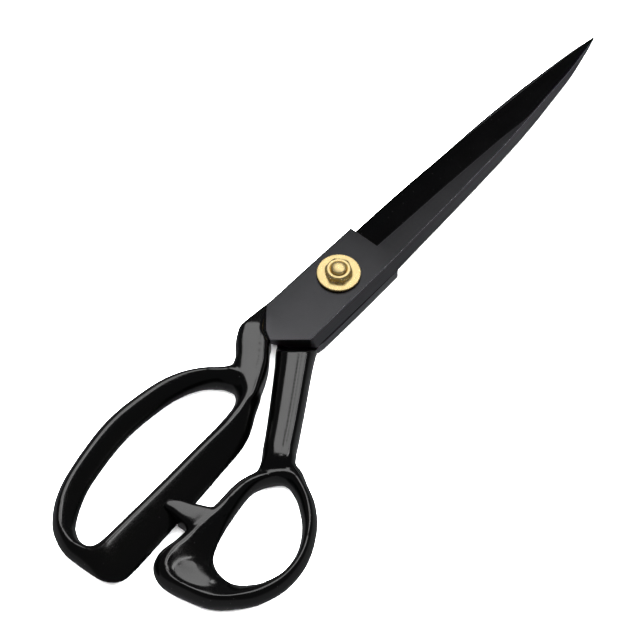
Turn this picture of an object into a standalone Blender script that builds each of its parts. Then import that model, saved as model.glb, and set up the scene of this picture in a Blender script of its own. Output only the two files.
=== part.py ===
"""Fabric shears (tailor's shears with bent handles), modelled closed and lying flat.

Frame: origin on the pivot axis at the outer face of the pivot bolt's head.
+X runs along the blades to the tips, +Y towards the finger bow, +Z up towards the nut.
Lengths below are in millimetres and are scaled to metres when a mesh is made.
"""
import math

import bmesh
import bpy
from mathutils import Matrix, Vector

MM = 0.001

# ---------------------------------------------------------------- driving dimensions
GAP = 0.3                   # clearance left between pieces that touch
PLATE_THICKNESS = 4.6       # each blade at the pivot
HEAD_THICKNESS = 1.5
HEAD_RADIUS = 5.5
BOLT_RADIUS = 2.5           # M5
NECK_HALF_WIDTH = 2.5       # square neck that keys the bolt in the rear blade
WASHER_RADIUS = 7.15
WASHER_THICKNESS = 0.8
NUT_ACROSS_FLATS = 8.0
NUT_HEIGHT = 2.0
NUT_TURN = math.radians(30)    # two of the corners lie on the X axis
FRICTION_RADIUS = 7.0       # thin washer between the blades
FRICTION_THICKNESS = 0.7
RECESS_DEPTH = 0.5

# heights, counted up from the bolt's head
REAR_LOW = HEAD_THICKNESS + GAP - 0.05
REAR_HIGH = REAR_LOW + PLATE_THICKNESS
FRONT_LOW = REAR_HIGH + GAP
FRONT_HIGH = FRONT_LOW + PLATE_THICKNESS
MIDDLE = (REAR_HIGH + FRONT_LOW) / 2
WASHER_LOW = FRONT_HIGH + 0.2
WASHER_HIGH = WASHER_LOW + WASHER_THICKNESS
NUT_LOW = WASHER_HIGH + 0.2
NUT_HIGH = NUT_LOW + NUT_HEIGHT
BOLT_TOP = NUT_HIGH + 0.9

# Blade sections along X: place, low and high corner of the spine, crest of the ground bevel,
# cutting edge, height of the edge's side wall, thickness. The cutting edge is the + side.
FRONT_BLADE = [
    (-33.4, -0.3, -0.3, 0.25, 0.3, 4.5, 4.6),
    (-31.5, -2.5, -2.5, 3.5, 3.6, 4.5, 4.6),
    (-25.0, -10.0, -9.8, 8.9, 9.0, 4.5, 4.6),
    (-23.8, -11.4, -9.8, 9.65, 9.75, 4.5, 4.6),
    (0.0, -11.3, -9.6, 9.2, 9.3, 4.5, 4.6),
    (16.1, -11.2, -9.4, 8.8, 8.9, 4.5, 4.6),
    (16.35, -11.2, -9.4, -2.0, 8.85, 0.35, 4.6),
    (30.0, -10.6, -8.8, -2.4, 8.55, 0.35, 4.35),
    (45.0, -9.95, -8.2, -2.8, 8.0, 0.35, 4.1),
    (60.0, -9.2, -7.5, -3.4, 7.1, 0.35, 3.85),
    (75.0, -8.3, -6.7, -4.1, 6.0, 0.35, 3.65),
    (87.0, -7.15, -5.6, -5.0, 5.05, 0.35, 3.4),
    (95.0, -6.1, -4.7, -4.3, 4.4, 0.35, 3.1),
    (103.0, -5.0, -3.8, -3.5, 3.7, 0.3, 2.7),
    (110.0, -3.9, -2.9, -2.7, 3.1, 0.3, 2.2),
    (117.5, -2.2, -1.5, -1.3, 2.3, 0.3, 1.5),
    (122.0, -1.1, -0.6, -0.5, 1.75, 0.3, 1.0),
    (126.3, 0.3, 0.4, 0.45, 1.05, 0.25, 0.45),
]
REAR_BLADE = [
    (-26.6, -1.0, -1.0, 1.0, 1.1, 4.5, 4.6),
    (-25.4, -5.0, -5.0, 6.4, 6.5, 4.5, 4.6),
    (-22.4, -9.6, -9.6, 10.9, 11.0, 4.5, 4.6),
    (-20.0, -10.6, -9.6, 11.3, 11.4, 4.5, 4.6),
    (0.0, -10.2, -8.9, 11.1, 11.2, 4.5, 4.6),
    (16.5, -9.5, -8.2, 10.7, 10.8, 4.5, 4.6),
    (16.75, -9.0, -8.0, 2.0, 10.3, 0.35, 4.6),
    (30.0, -8.65, -7.6, 2.4, 9.8, 0.35, 4.35),
    (45.0, -8.15, -7.1, 2.8, 9.2, 0.35, 4.1),
    (60.0, -7.6, -6.5, 3.2, 8.4, 0.35, 3.85),
    (75.0, -7.0, -5.9, 3.2, 7.5, 0.35, 3.65),
    (87.0, -6.25, -5.2, 1.0, 6.3, 0.35, 3.4),
    (95.0, -5.6, -4.6, -3.0, 5.2, 0.35, 3.1),
    (103.0, -4.75, -3.9, -3.4, 4.1, 0.3, 2.7),
    (110.0, -3.95, -3.3, -3.1, 2.9, 0.3, 2.2),
    (117.5, -3.0, -2.5, -2.3, 1.2, 0.3, 1.5),
    (122.0, -2.25, -1.9, -1.8, 0.0, 0.3, 1.0),
    (125.7, -1.2, -1.1, -1.05, -0.65, 0.25, 0.45),
]

# Bow sections, all the way round the hole: outer point, point on the hole's edge, how far the
# ridge lies from the outer point (0 to 1), half height.
FINGER_BOW = [
    ((-45.5, 1.5), (-54.8, 0.5), 0.46, 5.6),
    ((-49.2, 5.6), (-56.4, 3.1), 0.5, 5.4),
    ((-54.2, 10.5), (-59.5, 6.0), 0.42, 5.0),
    ((-61.1, 15.3), (-64.7, 8.4), 0.38, 4.8),
    ((-71.4, 18.6), (-72.9, 10.3), 0.36, 4.8),
    ((-90.0, 20.1), (-89.8, 11.2), 0.31, 5.0),
    ((-110.4, 16.8), (-108.6, 8.4), 0.27, 5.0),
    ((-121.9, 13.0), (-118.6, 5.0), 0.26, 4.8),
    ((-130.0, 7.5), (-125.5, 1.2), 0.27, 4.5),
    ((-133.7, 2.4), (-127.7, -1.2), 0.32, 4.3),
    ((-135.6, -2.5), (-128.9, -3.3), 0.41, 4.3),
    ((-135.9, -7.0), (-129.3, -4.9), 0.5, 4.4),
    ((-135.9, -12.0), (-129.2, -6.7), 0.58, 4.7),
    ((-135.6, -19.0), (-128.1, -8.0), 0.7, 5.1),
    ((-131.8, -23.6), (-125.9, -8.8), 0.78, 5.5),
    ((-124.6, -24.1), (-121.5, -9.1), 0.81, 5.7),
    ((-112.0, -23.2), (-111.0, -9.0), 0.8, 5.8),
    ((-96.0, -21.9), (-96.0, -8.7), 0.77, 5.8),
    ((-80.5, -20.4), (-80.5, -8.2), 0.74, 5.8),
    ((-66.4, -18.6), (-67.0, -7.7), 0.68, 5.8),
    ((-55.8, -13.6), (-58.3, -6.4), 0.56, 5.8),
    ((-47.8, -8.4), (-54.1, -3.0), 0.42, 5.7),
]
THUMB_BOW = [
    ((-79.0, -26.6), (-79.3, -32.5), 0.62, 4.3),
    ((-91.8, -27.4), (-91.4, -34.4), 0.4, 4.9),
    ((-103.0, -26.7), (-98.7, -36.5), 0.32, 5.0),
    ((-110.9, -26.3), (-103.4, -38.4), 0.28, 5.0),
    ((-116.9, -25.7), (-106.6, -40.4), 0.26, 5.0),
    ((-122.0, -28.1), (-108.4, -42.9), 0.2, 4.8),
    ((-124.6, -33.4), (-109.3, -45.5), 0.16, 4.5),
    ((-123.4, -41.9), (-109.6, -48.6), 0.15, 4.2),
    ((-120.9, -50.3), (-108.6, -51.9), 0.18, 4.0),
    ((-115.4, -57.1), (-106.0, -55.1), 0.25, 4.0),
    ((-108.7, -62.0), (-102.5, -57.9), 0.36, 4.0),
    ((-98.7, -64.7), (-95.5, -59.9), 0.45, 4.1),
    ((-87.6, -63.3), (-87.5, -58.5), 0.5, 4.2),
    ((-77.3, -58.1), (-79.6, -53.7), 0.5, 4.4),
    ((-70.3, -51.7), (-74.1, -48.2), 0.5, 4.6),
    ((-65.9, -44.5), (-71.4, -43.5), 0.52, 4.6),
    ((-62.2, -36.5), (-69.9, -38.3), 0.68, 4.1),
    ((-68.0, -30.4), (-72.5, -34.5), 0.82, 3.9),
]
SECTION_POWER = 1.55        # below 2 the ridge is crisper than an ellipse's
SECTION_POINTS = 14
STEPS_PER_SECTION = 2

# Shanks seen from above, from the blade's end to inside the bow
FINGER_SHANK = [
    (-22.0, 10.1), (-35.8, 10.9), (-38.8, 9.7), (-44.8, 4.9), (-49.5, 3.4), (-52.5, 2.6),
    (-52.5, -4.0), (-56.0, -9.0), (-54.8, -12.0), (-43.4, -7.1), (-34.2, -1.0), (-25.5, 4.0),
]
THUMB_SHANK = [
    (-20.0, -10.9), (-25.0, -12.3), (-30.3, -15.5), (-58.6, -33.4), (-63.8, -37.2),
    (-68.0, -37.8), (-70.2, -33.0), (-71.0, -28.6), (-64.6, -24.2), (-33.6, -2.5), (-26.0, 3.2),
]
SHANK_HALF_HEIGHT = 5.7
SHANK_EDGE = 2.6            # rounding along the shanks
STOP_LUG = [(-92.2, -29.5), (-95.6, -23.2), (-99.2, -17.0), (-100.7, -15.9), (-103.4, -15.6),
            (-104.0, -17.6), (-103.7, -23.0), (-104.8, -28.5)]
LUG_TOP = 5.1               # above and below the handles' middle plane
LUG_UNDERSIDE = -0.9
LUG_EDGE = 1.2

# Tangs: the blades' tails inside the handles
TANG_HALF_WIDTH = 2.8
TANG_HALF_HEIGHT = 1.5
FINGER_TANG = ((-27.0, 3.0), (-45.5, -2.6))
THUMB_TANG = ((-24.0, -5.5), (-48.0, -20.0))

# ---------------------------------------------------------------- collections
for leftover in list(bpy.data.objects):
    bpy.data.objects.remove(leftover)


def new_collection(name):
    collection = bpy.data.collections.new(name)
    bpy.context.scene.collection.children.link(collection)
    return collection


PARTS = new_collection("fabric_shears")
CUTTERS = new_collection("cutters")


# ---------------------------------------------------------------- shared helpers
def material(name, colour, metallic, roughness):
    finish = bpy.data.materials.new(name)
    finish.use_nodes = True
    shader = finish.node_tree.nodes["Principled BSDF"]
    shader.inputs["Base Color"].default_value = (*colour, 1.0)
    shader.inputs["Metallic"].default_value = metallic
    shader.inputs["Roughness"].default_value = roughness
    return finish


def place(name, mesh, collection=CUTTERS):
    """Make an object from a mesh. Those in the cutters' collection are left out of the part."""
    piece = bpy.data.objects.new(name, mesh)
    collection.objects.link(piece)
    if collection is CUTTERS:
        piece.hide_render = True
        piece.display_type = "WIRE"
    return piece


def mesh_from(bm, name):
    """Scale a bmesh in millimetres to metres, turn its faces outwards and make it a mesh."""
    bmesh.ops.scale(bm, vec=(MM, MM, MM), verts=bm.verts)
    bmesh.ops.recalc_face_normals(bm, faces=bm.faces)
    mesh = bpy.data.meshes.new(name)
    bm.to_mesh(mesh)
    bm.free()
    return mesh


def bake(piece):
    """Replace a piece's mesh with the result of its modifiers."""
    graph = bpy.context.evaluated_depsgraph_get()
    graph.update()
    result = bpy.data.meshes.new_from_object(piece.evaluated_get(graph))
    piece.modifiers.clear()
    piece.data = result


def cut(piece, tool, operation="DIFFERENCE"):
    boolean = piece.modifiers.new(operation.lower(), "BOOLEAN")
    boolean.operation = operation
    boolean.solver = "EXACT"
    boolean.object = tool
    bake(piece)


def finish_part(piece, finish, crease=35):
    """Move a finished solid to the part's collection with its material and smooth shading."""
    CUTTERS.objects.unlink(piece)
    PARTS.objects.link(piece)
    piece.hide_render = False
    piece.display_type = "TEXTURED"
    piece.data.materials.clear()
    piece.data.materials.append(finish)
    piece.data.shade_smooth()
    piece.data.set_sharp_from_angle(angle=math.radians(crease))


def cylinder(name, radius, low, high, sides=48, turn=0.0):
    bm = bmesh.new()
    bmesh.ops.create_cone(bm, cap_ends=True, segments=sides, radius1=radius, radius2=radius,
                          depth=high - low)
    bmesh.ops.rotate(bm, cent=(0, 0, 0), verts=bm.verts, matrix=Matrix.Rotation(turn, 3, "Z"))
    bmesh.ops.translate(bm, vec=(0, 0, (low + high) / 2), verts=bm.verts)
    return place(name, mesh_from(bm, name))


def box(name, low, high):
    bm = bmesh.new()
    bmesh.ops.create_cube(bm, size=1)
    size = [b - a for a, b in zip(low, high)]
    centre = [(a + b) / 2 for a, b in zip(low, high)]
    bmesh.ops.scale(bm, vec=size, verts=bm.verts)
    bmesh.ops.translate(bm, vec=centre, verts=bm.verts)
    return place(name, mesh_from(bm, name))


def slab(name, outline, low, high, edge=0.0):
    """A flat outline given thickness; edge rounds its upper and lower rim."""
    curve = bpy.data.curves.new(name, "CURVE")
    curve.dimensions = "2D"
    curve.fill_mode = "BOTH"
    curve.extrude = (high - low) / 2 * MM
    spline = curve.splines.new("POLY")
    spline.points.add(len(outline) - 1)
    for point, (x, y) in zip(spline.points, outline):
        point.co = (x * MM, y * MM, 0, 1)
    spline.use_cyclic_u = True
    guide = bpy.data.objects.new(name + "_outline", curve)
    CUTTERS.objects.link(guide)
    graph = bpy.context.evaluated_depsgraph_get()
    graph.update()
    mesh = bpy.data.meshes.new_from_object(guide.evaluated_get(graph))
    bpy.data.objects.remove(guide)
    bm = bmesh.new()
    bm.from_mesh(mesh)
    bmesh.ops.remove_doubles(bm, verts=bm.verts, dist=0.00001)
    bmesh.ops.dissolve_limit(bm, angle_limit=math.radians(1), verts=bm.verts, edges=bm.edges)
    bmesh.ops.translate(bm, vec=(0, 0, (low + high) / 2 * MM), verts=bm.verts)
    bmesh.ops.recalc_face_normals(bm, faces=bm.faces)
    bm.to_mesh(mesh)
    bm.free()
    piece = place(name, mesh)
    if edge:
        rounding = piece.modifiers.new("rounding", "BEVEL")
        rounding.width = edge * MM
        rounding.segments = 3
        rounding.limit_method = "ANGLE"
        rounding.angle_limit = math.radians(60)
        bake(piece)
    return piece


def widened(outline, distance):
    """Move a counter-clockwise or clockwise outline outwards by a distance."""
    area = sum(x1 * y2 - x2 * y1 for (x1, y1), (x2, y2) in zip(outline, outline[1:] + outline[:1]))
    outside = 1 if area > 0 else -1
    moved = []
    for before, here, after in zip(outline[-1:] + outline[:-1], outline, outline[1:] + outline[:1]):
        arriving = (Vector(here) - Vector(before)).normalized()
        leaving = (Vector(after) - Vector(here)).normalized()
        normal_a = Vector((arriving.y, -arriving.x)) * outside
        normal_b = Vector((leaving.y, -leaving.x)) * outside
        bisector = (normal_a + normal_b).normalized()
        moved.append(tuple(Vector(here) + bisector * distance / max(bisector.dot(normal_a), 0.5)))
    return moved


def bar_outline(start, end, half_width, beyond=0.0):
    """A straight bar seen from above, lengthened past its end."""
    along = (Vector(end) - Vector(start)).normalized()
    side = Vector((-along.y, along.x)) * half_width
    tail = Vector(end) + along * beyond
    return [tuple(Vector(start) + side), tuple(Vector(start) - side),
            tuple(tail - side), tuple(tail + side)]


# ---------------------------------------------------------------- blades
def loft(rings, closed):
    """Skin a row of equal point rings; an open row gets a cap at each end."""
    bm = bmesh.new()
    rows = [[bm.verts.new(point) for point in ring] for ring in rings]
    pairs = list(zip(rows, rows[1:]))
    if closed:
        pairs.append((rows[-1], rows[0]))
    for near, far in pairs:
        for i in range(len(near)):
            j = (i + 1) % len(near)
            bm.faces.new((near[i], near[j], far[j], far[i]))
    if not closed:
        bm.faces.new(rows[0])
        bm.faces.new(rows[-1])
    return bm


def blade_body(name, sections, inner_face, side):
    """Loft a blade. side is 1 for the front blade, whose edge is at +Y, and -1 for the rear."""
    rings = []
    for x, spine_low, spine_high, crest, edge, edge_height, thickness in sections:
        profile = [(spine_low, 0), (spine_high, thickness), (crest, thickness),
                   (edge, edge_height), (edge, 0)]
        rings.append([(x, side * y, inner_face + side * z) for y, z in profile])
    return place(name, mesh_from(loft(rings, closed=False), name))


def plate_outline(sections, side, distance):
    """The blade's tail from above, out to the pivot, widened by a distance."""
    tail = [row for row in sections if row[0] < 5]
    edge = [(row[0], side * row[4]) for row in tail]
    spine = [(row[0], side * min(row[1], row[2])) for row in tail]
    return widened(edge + spine[::-1], distance)


def make_blade(name, sections, inner_face, side, tang, finish):
    blade = blade_body(name, sections, inner_face, side)
    middle = inner_face + side * PLATE_THICKNESS / 2
    start, end = tang
    tail = slab(name + "_tang", bar_outline(start, end, TANG_HALF_WIDTH),
                middle - TANG_HALF_HEIGHT, middle + TANG_HALF_HEIGHT)
    cut(blade, tail, "UNION")
    recess_low = min(inner_face - RECESS_DEPTH, inner_face)
    recess_high = max(inner_face + RECESS_DEPTH, inner_face)
    recess = cylinder(name + "_recess", FRICTION_RADIUS + GAP, recess_low, recess_high)
    cut(blade, recess)
    if side > 0:
        hole = cylinder(name + "_bore", BOLT_RADIUS + 0.15, FRONT_LOW - 1, FRONT_HIGH + 1)
    else:
        reach = NECK_HALF_WIDTH + 0.15
        hole = box(name + "_square_hole", (-reach, -reach, REAR_LOW - 1), (reach, reach, REAR_HIGH + 1))
    cut(blade, hole)
    finish_part(blade, finish, crease=8)
    return blade


# ---------------------------------------------------------------- handles
def blend(values, t):
    """Catmull-Rom between the middle two of four values."""
    a, b, c, d = values
    return 0.5 * (2 * b + (c - a) * t + (2 * a - 5 * b + 4 * c - d) * t * t
                  + (3 * b - a - 3 * c + d) * t * t * t)


def bow_rings(sections, clearance=0.0):
    """Section rings round a bow, each from the outer side over the ridge to the hole."""
    rows = [(*outer, *inner, ridge, height) for outer, inner, ridge, height in sections]
    count = len(rows)
    rings = []
    for i in range(count):
        neighbours = [rows[(i + k) % count] for k in (-1, 0, 1, 2)]
        for step in range(STEPS_PER_SECTION):
            values = [blend(column, step / STEPS_PER_SECTION) for column in zip(*neighbours)]
            rings.append(bow_section(values, clearance))
    return rings


def bow_section(values, clearance):
    outer = Vector(values[0:2])
    inner = Vector(values[2:4])
    across = (outer - inner).normalized()
    ridge = outer.lerp(inner, values[4])
    reach_out = (outer - ridge).length + clearance
    reach_in = (ridge - inner).length + clearance
    half_height = values[5] + clearance
    ring = []
    for k in range(SECTION_POINTS):
        angle = 2 * math.pi * k / SECTION_POINTS
        c = math.cos(angle)
        s = math.sin(angle)
        reach = reach_out if c > 0 else reach_in
        sideways = math.copysign(abs(c) ** (2 / SECTION_POWER), c) * reach
        upwards = math.copysign(abs(s) ** (2 / SECTION_POWER), s) * half_height
        spot = ridge + across * sideways
        ring.append((spot.x, spot.y, MIDDLE + upwards))
    return ring


def make_handle(name, bow, shank, shank_low, extras, clearances, finish):
    handle = place(name, mesh_from(loft(bow_rings(bow), closed=True), name))
    arm = slab(name + "_shank", shank, shank_low, MIDDLE + SHANK_HALF_HEIGHT, SHANK_EDGE)
    cut(handle, arm, "UNION")
    for extra in extras:
        cut(handle, extra, "UNION")
    for clearance in clearances:
        cut(handle, clearance)
    finish_part(handle, finish)
    return handle


def tang_pocket(name, tang, middle):
    start, end = tang
    return slab(name, bar_outline(start, end, TANG_HALF_WIDTH + GAP, GAP),
                middle - TANG_HALF_HEIGHT - GAP, middle + TANG_HALF_HEIGHT + GAP)


# ---------------------------------------------------------------- fasteners
def turned(name, profile, sides=48):
    """Spin a profile of (radius, height), listed from the top down, about the pivot axis."""
    bm = bmesh.new()
    points = [bm.verts.new((radius, 0, height)) for radius, height in profile]
    for a, b in zip(points, points[1:]):
        bm.edges.new((a, b))
    mesh = bpy.data.meshes.new(name)
    bmesh.ops.scale(bm, vec=(MM, MM, MM), verts=bm.verts)
    bm.to_mesh(mesh)
    bm.free()
    piece = place(name, mesh)
    screw = piece.modifiers.new("turn", "SCREW")
    screw.axis = "Z"
    screw.steps = sides
    screw.render_steps = sides
    screw.use_merge_vertices = True
    screw.merge_threshold = 0.00001
    bake(piece)
    return piece


def make_bolt(finish):
    """Low round head, square neck in the rear blade, round shank, domed end above the nut."""
    shank_radius = BOLT_RADIUS - 0.05
    bolt = turned("pivot_bolt", [
        (0, BOLT_TOP), (1.2, BOLT_TOP - 0.05), (2.0, BOLT_TOP - 0.2), (2.3, BOLT_TOP - 0.4),
        (shank_radius, BOLT_TOP - 0.7), (shank_radius, HEAD_THICKNESS), (HEAD_RADIUS - 0.5, HEAD_THICKNESS),
        (HEAD_RADIUS, HEAD_THICKNESS - 0.5), (HEAD_RADIUS - 0.4, 0.35), (HEAD_RADIUS - 1.4, 0), (0, 0)])
    half = NECK_HALF_WIDTH
    neck = box("bolt_neck", (-half, -half, HEAD_THICKNESS - 0.3), (half, half, REAR_HIGH - RECESS_DEPTH))
    cut(bolt, neck, "UNION")
    finish_part(bolt, finish)


def ring(name, outer, inner, low, high, finish):
    corner = 0.15
    washer = turned(name, [
        (inner, high), (outer - corner, high), (outer, high - corner), (outer, low + corner),
        (outer - corner, low), (inner, low), (inner, high)])
    finish_part(washer, finish)


def make_nut(finish):
    corner_radius = NUT_ACROSS_FLATS / math.sqrt(3)
    nut = cylinder("hex_nut", corner_radius, NUT_LOW, NUT_HIGH, sides=6, turn=NUT_TURN)
    flat_radius = NUT_ACROSS_FLATS / 2
    chamfer = turned("nut_chamfer", [
        (0, NUT_HIGH), (flat_radius - 0.1, NUT_HIGH), (corner_radius + 0.5, NUT_HIGH - 0.75),
        (corner_radius + 0.5, NUT_LOW), (0, NUT_LOW)])
    cut(nut, chamfer, "INTERSECT")
    cut(nut, cylinder("nut_thread", BOLT_RADIUS + 0.1, NUT_LOW - 1, NUT_HIGH + 1))
    finish_part(nut, finish)


# ---------------------------------------------------------------- the object
STEEL = material("blackened_steel", (0.055, 0.055, 0.06), 0.9, 0.38)
ENAMEL = material("black_enamel", (0.006, 0.006, 0.007), 0.0, 0.12)
BRASS = material("brass", (0.86, 0.62, 0.24), 1.0, 0.2)
WASHER_STEEL = material("washer_steel", (0.5, 0.5, 0.52), 1.0, 0.35)

make_blade("front_blade", FRONT_BLADE, FRONT_LOW, 1, FINGER_TANG, STEEL)
make_blade("rear_blade", REAR_BLADE, REAR_HIGH, -1, THUMB_TANG, STEEL)

FRONT_MIDDLE = FRONT_LOW + PLATE_THICKNESS / 2
REAR_MIDDLE = REAR_HIGH - PLATE_THICKNESS / 2
ABOVE = FRONT_HIGH + 20
BELOW = -20

make_handle(
    "finger_handle", FINGER_BOW, FINGER_SHANK, MIDDLE - SHANK_HALF_HEIGHT, [],
    [slab("front_plate_room", plate_outline(FRONT_BLADE, 1, GAP), BELOW, ABOVE),
     tang_pocket("finger_pocket", FINGER_TANG, FRONT_MIDDLE)], ENAMEL)
make_handle(
    "thumb_handle", THUMB_BOW, THUMB_SHANK, MIDDLE - SHANK_HALF_HEIGHT,
    [slab("stop_lug", STOP_LUG, MIDDLE + LUG_UNDERSIDE, MIDDLE + LUG_TOP, LUG_EDGE)],
    [slab("rear_plate_room", plate_outline(REAR_BLADE, -1, GAP), BELOW, ABOVE),
     slab("front_plate_sweep", plate_outline(FRONT_BLADE, 1, GAP), REAR_HIGH, ABOVE),
     place("bar_room", mesh_from(loft(bow_rings(FINGER_BOW, GAP), closed=True), "bar_room")),
     tang_pocket("thumb_pocket", THUMB_TANG, REAR_MIDDLE)], ENAMEL)

make_bolt(BRASS)
ring("inner_washer", FRICTION_RADIUS, BOLT_RADIUS + 0.3, MIDDLE - FRICTION_THICKNESS / 2,
     MIDDLE + FRICTION_THICKNESS / 2, WASHER_STEEL)
ring("front_washer", WASHER_RADIUS, BOLT_RADIUS + 0.2, WASHER_LOW, WASHER_HIGH, BRASS)
make_nut(BRASS)
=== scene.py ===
import math

import bmesh
import bpy
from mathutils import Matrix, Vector


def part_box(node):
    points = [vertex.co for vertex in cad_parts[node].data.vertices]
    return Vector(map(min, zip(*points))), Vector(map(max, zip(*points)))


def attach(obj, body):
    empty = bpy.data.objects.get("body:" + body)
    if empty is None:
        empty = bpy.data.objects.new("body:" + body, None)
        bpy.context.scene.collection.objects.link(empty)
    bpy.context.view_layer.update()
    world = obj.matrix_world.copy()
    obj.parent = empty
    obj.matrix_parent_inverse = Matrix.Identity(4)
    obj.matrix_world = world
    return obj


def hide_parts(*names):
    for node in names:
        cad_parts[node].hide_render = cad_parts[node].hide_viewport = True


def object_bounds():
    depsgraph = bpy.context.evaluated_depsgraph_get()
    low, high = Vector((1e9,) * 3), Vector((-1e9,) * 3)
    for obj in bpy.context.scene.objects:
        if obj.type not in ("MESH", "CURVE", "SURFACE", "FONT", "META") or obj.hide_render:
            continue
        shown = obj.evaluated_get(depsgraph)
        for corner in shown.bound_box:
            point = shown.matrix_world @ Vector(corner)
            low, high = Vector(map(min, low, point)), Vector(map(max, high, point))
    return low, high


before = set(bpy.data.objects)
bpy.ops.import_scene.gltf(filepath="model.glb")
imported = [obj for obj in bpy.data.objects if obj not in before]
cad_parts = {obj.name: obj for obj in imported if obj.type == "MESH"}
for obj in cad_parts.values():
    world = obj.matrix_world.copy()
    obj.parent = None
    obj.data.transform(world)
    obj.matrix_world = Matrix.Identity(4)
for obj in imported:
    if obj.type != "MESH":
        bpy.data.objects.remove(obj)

# Fabric shears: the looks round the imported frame. Lengths in the tables are millimetres.
MM = 0.001
cad_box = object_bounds()

# ---------------------------------------------------------------- heights, from the frame
REAR_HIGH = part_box("rear_blade")[1].z / MM
FRONT_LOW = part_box("front_blade")[0].z / MM
FRONT_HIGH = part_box("front_blade")[1].z / MM
WASHER_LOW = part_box("front_washer")[0].z / MM
WASHER_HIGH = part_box("front_washer")[1].z / MM
NUT_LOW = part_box("hex_nut")[0].z / MM
NUT_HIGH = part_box("hex_nut")[1].z / MM
BOLT_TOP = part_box("pivot_bolt")[1].z / MM
MIDDLE = (REAR_HIGH + FRONT_LOW) / 2
GAP = FRONT_LOW - REAR_HIGH     # between the blades, and wherever the two halves pass close by

# ---------------------------------------------------------------- camera, floor and light
VIEW_AZIMUTH = math.radians(-48.96)
VIEW_ELEVATION = math.radians(55.6)
AIM = Vector((-17.33 * MM, -7.16 * MM, FRONT_HIGH * MM))
FRAME_WIDTH = 0.2044        # what the camera takes in across, at the plate's height, in metres
FLOOR_SIZE = 40
PAPER = (0.9, 0.9, 0.9)
FLOOR_GLOW = (0.1, 0.1, 0.103)
ROOM_GLOW = (0.03, 0.03, 0.031)
HORIZON = 0.04              # height in the world where the floor's glow has given way to the room's
# Panels: width and height in metres, and the brightness that a reflection of one shows
LIGHT_DISTANCE = 1.2
KEY_SIZE = (0.5, 0.62)
KEY_BRIGHTNESS = 1.2
KICKER_SIZE = (0.13, 0.6)
KICKER_BRIGHTNESS = 2.2
KICKER_AZIMUTH = math.radians(94.7)
KICKER_ELEVATION = math.radians(64.7)
FILL_SIZE = (3.0, 3.0)
FILL_POWER = 700            # watts; this one shows in no reflection
FILL_DISTANCE = 2.0


def direction(azimuth, elevation):
    """Unit vector towards a viewer; azimuth 0 is a viewer looking along +Y."""
    return Vector((math.sin(azimuth) * math.cos(elevation),
                   -math.cos(azimuth) * math.cos(elevation), math.sin(elevation)))


def link(obj):
    """Put a new object in the scene."""
    bpy.context.scene.collection.objects.link(obj)
    return obj


def aimed(obj, place, target):
    """Place a camera or a light and point it at a target."""
    obj.location = place
    obj.rotation_mode = "QUATERNION"
    obj.rotation_quaternion = (target - place).to_track_quat("-Z", "Y")


def make_camera():
    """A long lens far away: the photograph shows almost no perspective."""
    data = bpy.data.cameras.new("camera")
    data.sensor_width = 36
    data.lens = 1000
    data.clip_start = 0.1
    data.clip_end = 60
    camera = link(bpy.data.objects.new("camera", data))
    distance = FRAME_WIDTH * data.lens / data.sensor_width
    aimed(camera, AIM + direction(VIEW_AZIMUTH, VIEW_ELEVATION) * distance, AIM)
    bpy.context.scene.camera = camera


def panel_power(brightness, size):
    """Watts that give a panel of this width and height a brightness."""
    return brightness * math.pi * size[0] * size[1]


def panel(name, azimuth, elevation, distance, size, power, glossy=True):
    """A soft rectangular light that faces the pivot; glossy says if reflections show it."""
    data = bpy.data.lights.new(name, "AREA")
    data.shape = "RECTANGLE"
    data.size, data.size_y = size
    data.energy = power
    light = link(bpy.data.objects.new(name, data))
    aimed(light, direction(azimuth, elevation) * distance, Vector((0, 0, 0)))
    light.visible_glossy = glossy


def make_floor():
    """The pale sheet that the shears lie on."""
    bpy.ops.mesh.primitive_plane_add(size=FLOOR_SIZE, location=(0, 0, cad_box[0].z))
    floor = bpy.context.object
    floor.name = "floor"
    paper = bpy.data.materials.new("pale_floor")
    paper.use_nodes = True
    shader = paper.node_tree.nodes["Principled BSDF"]
    shader.inputs["Base Color"].default_value = (*PAPER, 1)
    shader.inputs["Roughness"].default_value = 1.0
    shader.inputs["Specular IOR Level"].default_value = 0.0
    floor.data.materials.append(paper)
    floor.visible_glossy = False


def make_room():
    """A dim room that reflections see: a little lighter below the horizon."""
    world = bpy.data.worlds.new("studio")
    bpy.context.scene.world = world
    world.use_nodes = True
    nodes = world.node_tree.nodes
    links = world.node_tree.links
    background = nodes["Background"]
    background.inputs["Strength"].default_value = 1.0
    place = nodes.new("ShaderNodeTexCoord")
    axes = nodes.new("ShaderNodeSeparateXYZ")
    ramp = nodes.new("ShaderNodeValToRGB")
    links.new(place.outputs["Generated"], axes.inputs["Vector"])
    links.new(axes.outputs["Z"], ramp.inputs["Fac"])
    links.new(ramp.outputs["Color"], background.inputs["Color"])
    steps = ramp.color_ramp.elements
    steps[0].position = 0.0
    steps[0].color = (*FLOOR_GLOW, 1)
    steps[1].position = HORIZON
    steps[1].color = (*ROOM_GLOW, 1)


def make_lights():
    """The key stands where flat faces mirror it to the camera, the kicker where leaning ones do."""
    panel("key", VIEW_AZIMUTH + math.pi, VIEW_ELEVATION, LIGHT_DISTANCE, KEY_SIZE,
          panel_power(KEY_BRIGHTNESS, KEY_SIZE))
    panel("kicker", KICKER_AZIMUTH, KICKER_ELEVATION, LIGHT_DISTANCE, KICKER_SIZE,
          panel_power(KICKER_BRIGHTNESS, KICKER_SIZE))
    panel("fill", 0.0, math.pi / 2, FILL_DISTANCE, FILL_SIZE, FILL_POWER, glossy=False)


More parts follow.
